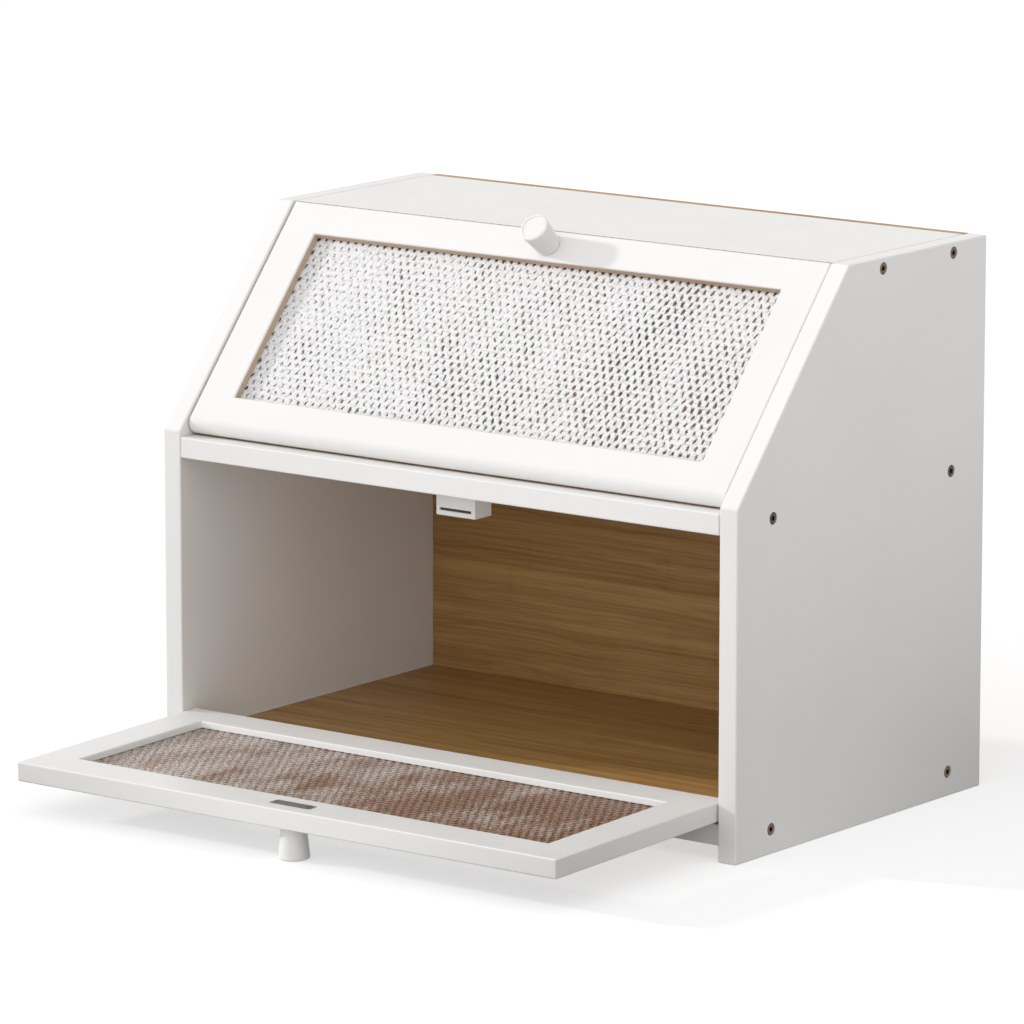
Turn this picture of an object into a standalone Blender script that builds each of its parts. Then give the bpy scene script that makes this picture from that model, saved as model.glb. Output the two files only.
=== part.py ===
import bpy
import bmesh
from math import asin, atan2, cos, hypot, pi, radians, sin
from mathutils import Matrix

# Two-tier bread box: a board cabinet with a shelf, and two flip-down doors.
# Each door is a frame of grooved rails and stiles that holds a clear window,
# and it turns on two blind pins near its bottom edge, which is rounded about them.
# Lengths are in metres. X runs to the right seen from the front, Y to the back, Z up.
# Names and comments call the upright plane of the side panels' front edges the front.

# Cabinet
cabinet_width = 0.400
cabinet_depth = 0.238
cabinet_height = 0.315
board_thickness = 0.012
front_height = 0.1955
top_setback = 0.103
foot_height = 0.008
bottom_setback = 0.0045
shelf_drop = 0.0035
back_thickness = 0.005
board_edge_round = 0.0008
top_bevel_reach = 0.0014

# Clearance between pieces that touch, and how far a cut runs past what it cuts
fit_gap = 0.0003
cut_overrun = 0.002

# Doors
door_thickness = 0.011
door_side_gap = 0.001
hinge_radius = 0.006
inner_corner_round = 0.003
stile_width = 0.024
window_thickness = 0.002
window_setback = 0.005
groove_depth = 0.005

# Lower door, shown open, with its knob just clear of what the cabinet stands on
lower_face_setback = 0.0004
lower_floor_gap = 0.0022
lower_top_gap = 0.001
lower_rail_width = 0.0254
knob_rest_clearance = 0.0003

# Upper door, shown closed in the slope
upper_face_setback = 0.001
upper_shelf_gap = 0.0014
upper_top_gap = 0.001
upper_bottom_rail_width = 0.0218
upper_top_rail_width = 0.0201

# Pivot pins
pin_radius = 0.0025
pin_depth_in_door = 0.016
pin_depth_in_side = 0.0065
pin_chamfer = 0.0005

# Knobs
knob_length = 0.0188
knob_base_radius = 0.007
knob_end_radius = 0.0088
knob_edge_round = 0.0012
knob_rim_width = 0.0010
knob_dish_depth = 0.0005
knob_bore_depth = 0.013

# Knob screws, put in from the inner face and covered by the strike plates
knob_screw_shank_radius = 0.002
knob_screw_head_radius = 0.0035
knob_screw_head_height = 0.0018
knob_screw_tip_gap = 0.0007

# Strike plates
strike_length = 0.028
strike_width = 0.008
strike_thickness = 0.001
strike_corner_round = 0.0015
strike_screw_inset = 0.0035
strike_screw_head_radius = 0.0017
strike_screw_cone_height = 0.0008
strike_screw_shank_radius = 0.0009
strike_screw_length = 0.007

# Magnetic catches under the shelf and under the top
catch_width = 0.0272
catch_depth = 0.0154
catch_height = 0.0135
catch_door_gap = 0.0006
catch_edge_round = 0.0006
slot_width = 0.022
slot_height = 0.0016
slot_depth = 0.0075
lower_slot_rise = 0.0037
magnet_setback = 0.0005
catch_screw_spacing = 0.017
catch_screw_rear_inset = 0.0046
catch_screw_head_radius = 0.0025
catch_screw_head_height = 0.0016
catch_screw_shank_radius = 0.0013
catch_screw_length = 0.020

# Socket screws through the side panels into the ends of the boards
side_screw_inset = 0.033
side_screw_head_radius = 0.0032
side_screw_head_height = 0.003
side_screw_head_round = 0.0006
side_screw_shank_radius = 0.002
side_screw_length = 0.035
side_screw_socket_apothem = 0.0014
side_screw_socket_depth = 0.002
screw_flush_depth = 0.0001

# Countersunk screws through the back panel into the rear edges of the boards
back_screw_spacing = 0.240
back_screw_head_radius = 0.003
back_screw_cone_height = 0.0016
back_screw_shank_radius = 0.0015
back_screw_length = 0.020

# Thread run-out at a screw's tip
screw_tip_taper = 0.0008

# Sides of the round pieces, all multiples of six so that a socket fits the same rings
knob_sides = 30
screw_sides = 12
small_screw_sides = 12
arc_steps = 5

# Worked out from the sizes above
shelf_underside = front_height - shelf_drop - board_thickness
half_width = cabinet_width / 2
board_half_length = half_width - board_thickness
shelf_top = shelf_underside + board_thickness
top_underside = cabinet_height - board_thickness
board_rear = cabinet_depth - back_thickness - fit_gap
slope_angle = atan2(cabinet_height - front_height, top_setback)
door_half_width = board_half_length - door_side_gap
opening_half_width = door_half_width - stile_width
inner_face = door_thickness - hinge_radius
groove_front = window_setback - hinge_radius - fit_gap
groove_rear = groove_front + window_thickness + 2 * fit_gap
window_engagement = groove_depth - 2 * fit_gap


def on_slope(along, depth):
    # Point (y, z) this far up the slope and this far in behind it
    y = along * cos(slope_angle) + depth * sin(slope_angle)
    z = front_height + along * sin(slope_angle) - depth * cos(slope_angle)
    return y, z


# Lower door: its pivot, height and tilt below level when its knob end all but rests
lower_pivot_y = lower_face_setback + hinge_radius
lower_pivot_z = foot_height + board_thickness + lower_floor_gap + hinge_radius
lower_door_top = shelf_underside - lower_top_gap - lower_pivot_z
lower_knob_height = lower_door_top - lower_rail_width / 2
knob_far_edge = lower_knob_height + knob_end_radius
knob_drop = hinge_radius + knob_length
lower_tilt = (asin((lower_pivot_z - knob_rest_clearance) / hypot(knob_far_edge, knob_drop))
              - atan2(knob_drop, knob_far_edge))
lower_open_angle = radians(90) + lower_tilt

# Upper door: its pivot lies as deep behind the slope as the face setback and the
# hinge radius, and its outer top corner reaches the height of the top panel
upper_pivot_z = shelf_top + upper_shelf_gap + hinge_radius
upper_pivot_depth = upper_face_setback + hinge_radius
upper_pivot_y = ((upper_pivot_depth + (upper_pivot_z - front_height) * cos(slope_angle))
                 / sin(slope_angle))
upper_pivot_along = (upper_pivot_y * cos(slope_angle)
                     + (upper_pivot_z - front_height) * sin(slope_angle))
upper_top_along = ((cabinet_height - front_height + upper_face_setback * cos(slope_angle))
                   / sin(slope_angle))
upper_door_top = upper_top_along - upper_pivot_along
upper_knob_height = upper_door_top - upper_top_rail_width / 2
upper_closed_angle = slope_angle - radians(90)

# The origin lies under the middle of the whole footprint, open door included
open_door_reach = (lower_door_top * cos(lower_tilt) + inner_face * sin(lower_tilt)
                   - lower_pivot_y)
front_plane_y = (open_door_reach - cabinet_depth) / 2


def clear_scene():
    for old in list(bpy.data.objects):
        bpy.data.objects.remove(old, do_unlink=True)


def make_material(name, colour, roughness, metallic=0.0, transmission=0.0):
    material = bpy.data.materials.new(name)
    material.use_nodes = True
    material.diffuse_color = (*colour, 1.0)
    shader = material.node_tree.nodes["Principled BSDF"]
    shader.inputs["Base Color"].default_value = (*colour, 1.0)
    shader.inputs["Roughness"].default_value = roughness
    shader.inputs["Metallic"].default_value = metallic
    shader.inputs["Transmission Weight"].default_value = transmission
    return material


def make_empty(name, parent=None, location=(0, 0, 0), rotation=(0, 0, 0)):
    empty = bpy.data.objects.new(name, None)
    bpy.context.scene.collection.objects.link(empty)
    empty.parent = parent
    empty.location = location
    empty.rotation_euler = rotation
    return empty


def place(name, bm, parent, location=(0, 0, 0), rotation=(0, 0, 0)):
    # Turn a bmesh into an object with its faces pointing out
    bmesh.ops.recalc_face_normals(bm, faces=bm.faces)
    mesh = bpy.data.meshes.new(name)
    bm.to_mesh(mesh)
    bm.free()
    piece = bpy.data.objects.new(name, mesh)
    bpy.context.scene.collection.objects.link(piece)
    piece.parent = parent
    piece.location = location
    piece.rotation_euler = rotation
    return piece


def finish(piece, material, smooth=False):
    piece.data.materials.append(material)
    if smooth:
        piece.data.shade_smooth()
        piece.data.set_sharp_from_angle(angle=radians(35))
    return piece


def round_edges(piece, width):
    bevel = piece.modifiers.new("rounded_edges", "BEVEL")
    bevel.width = width
    bevel.segments = 2
    bevel.limit_method = "ANGLE"
    bevel.angle_limit = radians(30)


def cut(piece, bm, parent, location=(0, 0, 0), rotation=(0, 0, 0)):
    # Subtract the solids in a bmesh from a piece
    cutter = place(piece.name + "_cutter", bm, parent, location, rotation)
    cutter.hide_render = True
    cutter.display_type = "WIRE"
    boolean = piece.modifiers.new("cut", "BOOLEAN")
    boolean.operation = "DIFFERENCE"
    boolean.solver = "EXACT"
    boolean.object = cutter


def add_prism(bm, outline, x_start, x_end):
    # Extrude a (y, z) outline along X
    face = bm.faces.new([bm.verts.new((x_start, y, z)) for y, z in outline])
    extruded = bmesh.ops.extrude_face_region(bm, geom=[face])
    moved = [item for item in extruded["geom"] if isinstance(item, bmesh.types.BMVert)]
    bmesh.ops.translate(bm, verts=moved, vec=(x_end - x_start, 0, 0))


def add_box(bm, x_range, y_range, z_range):
    outline = [(y_range[0], z_range[0]), (y_range[1], z_range[0]),
               (y_range[1], z_range[1]), (y_range[0], z_range[1])]
    add_prism(bm, outline, x_range[0], x_range[1])


def arc(centre_y, centre_z, radius, start, end):
    # Points (y, z) round a centre from one angle to another
    points = []
    for step in range(arc_steps + 1):
        angle = radians(start + (end - start) * step / arc_steps)
        points.append((centre_y + radius * cos(angle), centre_z + radius * sin(angle)))
    return points


def ring_radius(radius, corners, angle):
    # A round ring, or one with flats at this distance when it has corners
    if not corners:
        return radius
    corner_step = 2 * pi / corners
    return radius / cos(angle % corner_step - corner_step / 2)


def add_turned(bm, rings, sides, frame=Matrix.Identity(4)):
    # Closed solid from rings (radius, height, corners) about the frame's Z axis
    loops = []
    for radius, height, corners in rings:
        loop = []
        for index in range(sides):
            angle = 2 * pi * index / sides
            reach = ring_radius(radius, corners, angle)
            point = (reach * cos(angle), reach * sin(angle), height)
            loop.append(bm.verts.new(frame @ Matrix.Translation(point).to_translation()))
        loops.append(loop)
    for low, high in zip(loops, loops[1:]):
        for index in range(sides):
            after = (index + 1) % sides
            bm.faces.new((low[index], low[after], high[after], high[index]))
    bm.faces.new(loops[0])
    bm.faces.new(loops[-1])


def socket_screw_rings():
    # From the tip up to the head, then down into the six-sided socket
    tip = -side_screw_length
    return [(side_screw_shank_radius - screw_tip_taper, tip, 0),
            (side_screw_shank_radius, tip + screw_tip_taper, 0),
            (side_screw_shank_radius, -side_screw_head_height, 0),
            (side_screw_head_radius, -side_screw_head_height, 0),
            (side_screw_head_radius, -side_screw_head_round, 0),
            (side_screw_head_radius - side_screw_head_round, 0, 0),
            (side_screw_socket_apothem, 0, 6),
            (side_screw_socket_apothem, -side_screw_socket_depth, 6)]


def pan_screw_rings(head_radius, head_height, shank_radius, length):
    return [(shank_radius - screw_tip_taper, -length, 0),
            (shank_radius, screw_tip_taper - length, 0),
            (shank_radius, -head_height, 0),
            (head_radius, -head_height, 0),
            (head_radius, 0, 0)]


def countersunk_rings(head_radius, cone_height, shank_radius, length):
    return [(shank_radius - screw_tip_taper, -length, 0),
            (shank_radius, screw_tip_taper - length, 0),
            (shank_radius, -cone_height, 0),
            (head_radius, 0, 0)]


def stepped_hole_rings(head_radius, head_height, shank_radius, length):
    # A screw's straight-headed hole with its clearance all round
    return [(shank_radius + fit_gap, -length - fit_gap, 0),
            (shank_radius + fit_gap, -head_height - fit_gap, 0),
            (head_radius + fit_gap, -head_height - fit_gap, 0),
            (head_radius + fit_gap, cut_overrun, 0)]


def countersunk_hole_rings(head_radius, cone_height, shank_radius, length):
    return [(shank_radius + fit_gap, -length - fit_gap, 0),
            (shank_radius + fit_gap, -cone_height - fit_gap, 0),
            (head_radius + fit_gap, -fit_gap, 0),
            (head_radius + fit_gap, cut_overrun, 0)]


def straight_hole_rings(radius, depth):
    return [(radius, -depth, 0), (radius, cut_overrun, 0)]


# Frames whose Z axis points out of a face, at a point on that face
def facing_side(sign, x, y, z):
    return Matrix.Translation((x, y, z)) @ Matrix.Rotation(sign * radians(90), 4, "Y")


def facing_back(x, y, z):
    return Matrix.Translation((x, y, z)) @ Matrix.Rotation(radians(-90), 4, "X")


def facing_down(x, y, z):
    return Matrix.Translation((x, y, z)) @ Matrix.Rotation(radians(180), 4, "X")


def side_screw_places():
    # (y, z) of the six screws in each side panel, two into each board
    rear = cabinet_depth - side_screw_inset
    half_board = board_thickness / 2
    places = []
    for board_front, underside in ((0, foot_height), (0, shelf_underside),
                                   (top_setback, top_underside)):
        places.append((board_front + side_screw_inset, underside + half_board))
        places.append((rear, underside + half_board))
    return places


def make_side_panels(cabinet, material):
    outline = [(0, 0), (cabinet_depth, 0), (cabinet_depth, cabinet_height),
               (top_setback, cabinet_height), (0, front_height)]
    pivots = ((lower_pivot_y, lower_pivot_z), (upper_pivot_y, upper_pivot_z))
    for name, sign in (("left_side_panel", -1), ("right_side_panel", 1)):
        bm = bmesh.new()
        add_prism(bm, outline, 0, -sign * board_thickness)
        panel = place(name, bm, cabinet, (sign * half_width, 0, 0))
        finish(panel, material)
        round_edges(panel, board_edge_round)
        holes = bmesh.new()
        for y, z in side_screw_places():
            add_turned(holes, stepped_hole_rings(side_screw_head_radius, side_screw_head_height,
                                                 side_screw_shank_radius, side_screw_length),
                       screw_sides, facing_side(sign, 0, y, z))
        for y, z in pivots:
            add_turned(holes, straight_hole_rings(pin_radius + fit_gap,
                                                  pin_depth_in_side + fit_gap),
                       screw_sides, facing_side(-sign, -sign * board_thickness, y, z))
        cut(panel, holes, cabinet, (sign * half_width, 0, 0))


def end_screw_holes(bm, places):
    # Pilot holes for the side screws in both ends of a board
    pilot_depth = side_screw_length - board_thickness + fit_gap
    for sign in (-1, 1):
        for y, z in places:
            add_turned(bm, straight_hole_rings(side_screw_shank_radius + fit_gap, pilot_depth),
                       screw_sides, facing_side(sign, sign * board_half_length, y, z))


def rear_screw_holes(bm, z):
    pilot_depth = back_screw_length - back_thickness + fit_gap
    for sign in (-1, 1):
        add_turned(bm, straight_hole_rings(back_screw_shank_radius + fit_gap, pilot_depth),
                   small_screw_sides, facing_back(sign * back_screw_spacing / 2, board_rear, z))


def catch_screw_holes(bm, y, underside):
    pilot_depth = catch_screw_length - catch_height + fit_gap
    for sign in (-1, 1):
        add_turned(bm, straight_hole_rings(catch_screw_shank_radius + fit_gap, pilot_depth),
                   small_screw_sides, facing_down(sign * catch_screw_spacing / 2, y, underside))


def make_board(name, outline, screw_places, cabinet, material, catch_y=None):
    # One of the three boards between the sides, with its outline as (y, z) points
    board_end = board_half_length - fit_gap
    underside = min(z for y, z in outline)
    bm = bmesh.new()
    add_prism(bm, outline, -board_end, board_end)
    board = place(name, bm, cabinet)
    finish(board, material)
    round_edges(board, board_edge_round)
    holes = bmesh.new()
    end_screw_holes(holes, screw_places)
    rear_screw_holes(holes, underside + board_thickness / 2)
    if catch_y is not None:
        catch_screw_holes(holes, catch_y, underside)
    cut(board, holes, cabinet)


def flat_board_outline(front, underside):
    top = underside + board_thickness
    return [(front, underside), (board_rear, underside), (board_rear, top), (front, top)]


def top_panel_outline():
    # Its front edge is cut parallel to the end of the closed upper door
    edge_along = upper_top_along + upper_top_gap
    edge_depth = ((edge_along * sin(slope_angle) - (cabinet_height - front_height))
                  / cos(slope_angle))
    bevel_depth = upper_face_setback + door_thickness + top_bevel_reach
    crest = on_slope(edge_along, edge_depth)
    heel = on_slope(edge_along, bevel_depth)
    return [crest, (board_rear, cabinet_height), (board_rear, top_underside),
            (heel[0], top_underside), heel]


def make_back_panel(cabinet, material):
    half_length = board_half_length - fit_gap
    bm = bmesh.new()
    add_box(bm, (-half_length, half_length), (-back_thickness, 0), (foot_height, cabinet_height))
    panel = place("back_panel", bm, cabinet, (0, cabinet_depth, 0))
    finish(panel, material)
    holes = bmesh.new()
    for x, z in back_screw_places():
        add_turned(holes, countersunk_hole_rings(back_screw_head_radius, back_screw_cone_height,
                                                 back_screw_shank_radius, back_screw_length),
                   small_screw_sides, facing_back(x, 0, z))
    cut(panel, holes, cabinet, (0, cabinet_depth, 0))


def back_screw_places():
    half_board = board_thickness / 2
    return [(sign * back_screw_spacing / 2, underside + half_board)
            for underside in (foot_height, shelf_underside, top_underside)
            for sign in (-1, 1)]


def make_screws(cabinet, steel):
    bm = bmesh.new()
    add_turned(bm, socket_screw_rings(), screw_sides)
    first = place("left_side_screw_1", bm, cabinet)
    finish(first, steel, smooth=True)
    for side_name, sign in (("left", -1), ("right", 1)):
        for number, (y, z) in enumerate(side_screw_places(), start=1):
            name = f"{side_name}_side_screw_{number}"
            screw = bpy.data.objects.get(name) or copy_piece(first, name)
            screw.location = (sign * (half_width - screw_flush_depth), y, z)
            screw.rotation_euler = (0, sign * radians(90), 0)

    bm = bmesh.new()
    add_turned(bm, countersunk_rings(back_screw_head_radius, back_screw_cone_height,
                                     back_screw_shank_radius, back_screw_length),
               small_screw_sides)
    first = place("back_screw_1", bm, cabinet)
    finish(first, steel, smooth=True)
    for number, (x, z) in enumerate(back_screw_places(), start=1):
        name = f"back_screw_{number}"
        screw = bpy.data.objects.get(name) or copy_piece(first, name)
        screw.location = (x, cabinet_depth - screw_flush_depth, z)
        screw.rotation_euler = (radians(-90), 0, 0)


def copy_piece(piece, name):
    # Another piece with the same mesh and parent
    twin = bpy.data.objects.new(name, piece.data)
    bpy.context.scene.collection.objects.link(twin)
    twin.parent = piece.parent
    return twin


def make_catch(prefix, front_top, front_bottom, slot_z, closed_frame, cabinet, materials):
    # Magnetic catch screwed up under a board, its front face along the closed door.
    # front_top and front_bottom are (y, z) of that face's ends in the cabinet's frame,
    # and the slot's height is measured along the closed door.
    rear = front_top[0] + catch_depth
    half = catch_width / 2
    bm = bmesh.new()
    add_prism(bm, [front_top, front_bottom, (rear, front_bottom[1]), (rear, front_top[1])],
              -half, half)
    housing = place(f"{prefix}_catch_housing", bm, cabinet)
    finish(housing, materials["plastic"])
    round_edges(housing, catch_edge_round)

    face = inner_face + catch_door_gap
    slot = bmesh.new()
    add_box(slot, (-slot_width / 2, slot_width / 2), (face - cut_overrun, face + slot_depth),
            (slot_z - slot_height / 2, slot_z + slot_height / 2))
    cut(housing, slot, closed_frame)

    bm = bmesh.new()
    half = slot_width / 2 - fit_gap
    add_box(bm, (-half, half), (face + magnet_setback, face + slot_depth - fit_gap),
            (slot_z - slot_height / 2 + fit_gap, slot_z + slot_height / 2 - fit_gap))
    finish(place(f"{prefix}_catch_magnet", bm, closed_frame), materials["magnet"])

    screw_y = rear - catch_screw_rear_inset
    holes = bmesh.new()
    hole = stepped_hole_rings(catch_screw_head_radius, catch_screw_head_height,
                              catch_screw_shank_radius, catch_screw_length)
    rings = pan_screw_rings(catch_screw_head_radius, catch_screw_head_height,
                            catch_screw_shank_radius, catch_screw_length)
    for number, sign in enumerate((-1, 1), start=1):
        spot = (sign * catch_screw_spacing / 2, screw_y, front_bottom[1])
        add_turned(holes, hole, small_screw_sides, facing_down(*spot))
        bm = bmesh.new()
        add_turned(bm, rings, small_screw_sides)
        lifted = (spot[0], spot[1], spot[2] + screw_flush_depth)
        screw = place(f"{prefix}_catch_screw_{number}", bm, cabinet, lifted, (radians(180), 0, 0))
        finish(screw, materials["steel"], smooth=True)
    cut(housing, holes, cabinet)
    return screw_y


def door_bottom_points():
    # Outer corner rounded about the pivot, inner corner with its own smaller round
    corner_y = inner_face - inner_corner_round
    corner_z = inner_corner_round - hinge_radius
    return (arc(0, 0, hinge_radius, 180, 270)
            + arc(corner_y, corner_z, inner_corner_round, 270, 360))


def groove_points(edge, direction):
    # Corners of the window groove in a rail's inner edge, from the inner face outwards
    floor = edge - direction * groove_depth
    points = [(inner_face, edge), (groove_rear, edge), (groove_rear, floor),
              (groove_front, floor), (groove_front, edge), (-hinge_radius, edge)]
    return points if direction > 0 else points[::-1]


def make_rail(name, outline, pivot, material):
    # A rail with a stub tenon on each end, as thick as the window that shares the groove
    shoulder = opening_half_width - fit_gap
    end = opening_half_width + window_engagement
    low = min(z for y, z in outline) - cut_overrun
    high = max(z for y, z in outline) + cut_overrun
    bm = bmesh.new()
    add_prism(bm, outline, -end, end)
    rail = place(name, bm, pivot)
    finish(rail, material, smooth=True)
    waste = bmesh.new()
    for sign in (-1, 1):
        span = (sign * shoulder, sign * (end + cut_overrun))
        add_box(waste, span, (-hinge_radius - cut_overrun, groove_front + fit_gap), (low, high))
        add_box(waste, span, (groove_rear - fit_gap, inner_face + cut_overrun), (low, high))
    cut(rail, waste, pivot)
    return rail


def make_stile(name, sign, door_top, pivot, material):
    # An upright of the frame, grooved along its inner edge and bored for its pivot pin
    outline = door_bottom_points() + [(inner_face, door_top), (-hinge_radius, door_top)]
    bm = bmesh.new()
    add_prism(bm, outline, sign * opening_half_width, sign * door_half_width)
    stile = place(name, bm, pivot)
    finish(stile, material, smooth=True)
    waste = bmesh.new()
    add_box(waste,
            (sign * (opening_half_width - cut_overrun), sign * (opening_half_width + groove_depth)),
            (groove_front, groove_rear),
            (-hinge_radius - cut_overrun, door_top + cut_overrun))
    add_turned(waste, straight_hole_rings(pin_radius + fit_gap, pin_depth_in_door + fit_gap),
               screw_sides, facing_side(sign, sign * door_half_width, 0, 0))
    cut(stile, waste, pivot)


def make_pin(name, sign, pivot, material):
    # Joins the door's edge to a blind hole in the side panel, on the pivot's axis
    outer = board_half_length + pin_depth_in_side - door_half_width
    rings = [(pin_radius - pin_chamfer, -pin_depth_in_door, 0),
             (pin_radius, pin_chamfer - pin_depth_in_door, 0),
             (pin_radius, outer - pin_chamfer, 0),
             (pin_radius - pin_chamfer, outer, 0)]
    bm = bmesh.new()
    add_turned(bm, rings, screw_sides)
    pin = place(name, bm, pivot, (sign * door_half_width, 0, 0), (0, sign * radians(90), 0))
    finish(pin, material, smooth=True)


def knob_rings():
    # Up the bore, out over the base, along the taper and over the rim of the dished end
    bore = knob_screw_shank_radius + fit_gap
    rings = [(bore, knob_bore_depth, 0), (bore, fit_gap, 0), (knob_base_radius, fit_gap, 0)]
    for y, z in arc(knob_end_radius - knob_edge_round, knob_length - knob_edge_round,
                    knob_edge_round, 0, 90):
        rings.append((y, z, 0))
    rim = knob_end_radius - knob_edge_round - knob_rim_width
    rings.append((rim, knob_length, 0))
    rings.append((rim - knob_dish_depth, knob_length - knob_dish_depth, 0))
    return rings


def rounded_plate_points(length, width, corner):
    # Outline (x, z) of a plate with rounded corners
    points = []
    for across, up, start in ((1, 1, 0), (-1, 1, 90), (-1, -1, 180), (1, -1, 270)):
        centre_x = across * (length / 2 - corner)
        centre_z = up * (width / 2 - corner)
        points += arc(centre_x, centre_z, corner, start, start + 90)
    return points


def add_plate(bm, outline, y_start, y_end):
    face = bm.faces.new([bm.verts.new((x, y_start, z)) for x, z in outline])
    extruded = bmesh.ops.extrude_face_region(bm, geom=[face])
    moved = [item for item in extruded["geom"] if isinstance(item, bmesh.types.BMVert)]
    bmesh.ops.translate(bm, verts=moved, vec=(0, y_end - y_start, 0))


def make_knob_and_strike(prefix, rail, knob_height, pivot, materials):
    # The knob outside, its screw through the rail, and the strike plate that covers it
    bm = bmesh.new()
    add_turned(bm, knob_rings(), knob_sides)
    knob = place(f"{prefix}_knob", bm, pivot, (0, -hinge_radius, knob_height), (radians(90), 0, 0))
    finish(knob, materials["paint"], smooth=True)

    head_top = inner_face - strike_thickness - 2 * fit_gap
    reach = head_top + hinge_radius + knob_bore_depth - knob_screw_tip_gap
    bm = bmesh.new()
    add_turned(bm, pan_screw_rings(knob_screw_head_radius, knob_screw_head_height,
                                   knob_screw_shank_radius, reach), screw_sides)
    screw = place(f"{prefix}_knob_screw", bm, pivot, (0, head_top, knob_height),
                  (radians(-90), 0, 0))
    finish(screw, materials["steel"], smooth=True)

    bm = bmesh.new()
    add_plate(bm, rounded_plate_points(strike_length, strike_width, strike_corner_round),
              -strike_thickness, 0)
    seat = (0, inner_face, knob_height)
    strike = place(f"{prefix}_strike_plate", bm, pivot, seat)
    finish(strike, materials["steel"])

    screw_x = strike_length / 2 - strike_screw_inset
    hole = countersunk_hole_rings(strike_screw_head_radius, strike_screw_cone_height,
                                  strike_screw_shank_radius, strike_screw_length)
    plate_holes = bmesh.new()
    rail_cuts = bmesh.new()
    add_plate(rail_cuts, rounded_plate_points(strike_length + 2 * fit_gap,
                                              strike_width + 2 * fit_gap,
                                              strike_corner_round + fit_gap),
              -strike_thickness - fit_gap, cut_overrun)
    rail_holes = bmesh.new()
    add_turned(rail_holes, stepped_hole_rings(knob_screw_head_radius, knob_screw_head_height,
                                              knob_screw_shank_radius, reach),
               screw_sides, facing_back(0, head_top - inner_face, 0))
    for number, sign in enumerate((-1, 1), start=1):
        add_turned(plate_holes, hole, small_screw_sides, facing_back(sign * screw_x, 0, 0))
        add_turned(rail_holes, straight_hole_rings(strike_screw_shank_radius + fit_gap,
                                                   strike_screw_length + fit_gap),
                   small_screw_sides, facing_back(sign * screw_x, 0, 0))
        bm = bmesh.new()
        add_turned(bm, small_countersunk_rings(), small_screw_sides)
        screw = place(f"{prefix}_strike_screw_{number}", bm, pivot,
                      (sign * screw_x, inner_face - screw_flush_depth, knob_height),
                      (radians(-90), 0, 0))
        finish(screw, materials["steel"], smooth=True)
    cut(strike, plate_holes, pivot, seat)
    cut(rail, rail_cuts, pivot, seat)
    cut(rail, rail_holes, pivot, seat)


def small_countersunk_rings():
    # A strike screw is too thin for the taper of the others, so it keeps a blunt tip
    return [(strike_screw_shank_radius, -strike_screw_length, 0),
            (strike_screw_shank_radius, -strike_screw_cone_height, 0),
            (strike_screw_head_radius, 0, 0)]


def make_door(prefix, door_top, bottom_rail_width, top_rail_width, pivot, materials):
    bottom_edge = bottom_rail_width - hinge_radius
    top_edge = door_top - top_rail_width
    bottom_outline = door_bottom_points() + groove_points(bottom_edge, 1)
    top_outline = groove_points(top_edge, -1) + [(inner_face, door_top), (-hinge_radius, door_top)]
    make_rail(f"{prefix}_bottom_rail", bottom_outline, pivot, materials["paint"])
    top_rail = make_rail(f"{prefix}_top_rail", top_outline, pivot, materials["paint"])
    for side_name, sign in (("left", -1), ("right", 1)):
        make_stile(f"{prefix}_{side_name}_stile", sign, door_top, pivot, materials["paint"])
        make_pin(f"{prefix}_{side_name}_pin", sign, pivot, materials["steel"])

    half = opening_half_width + window_engagement
    bm = bmesh.new()
    add_box(bm, (-half, half), (groove_front + fit_gap, groove_rear - fit_gap),
            (bottom_edge - window_engagement, top_edge + window_engagement))
    finish(place(f"{prefix}_window", bm, pivot), materials["acrylic"])

    make_knob_and_strike(prefix, top_rail, door_top - top_rail_width / 2, pivot, materials)


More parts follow.
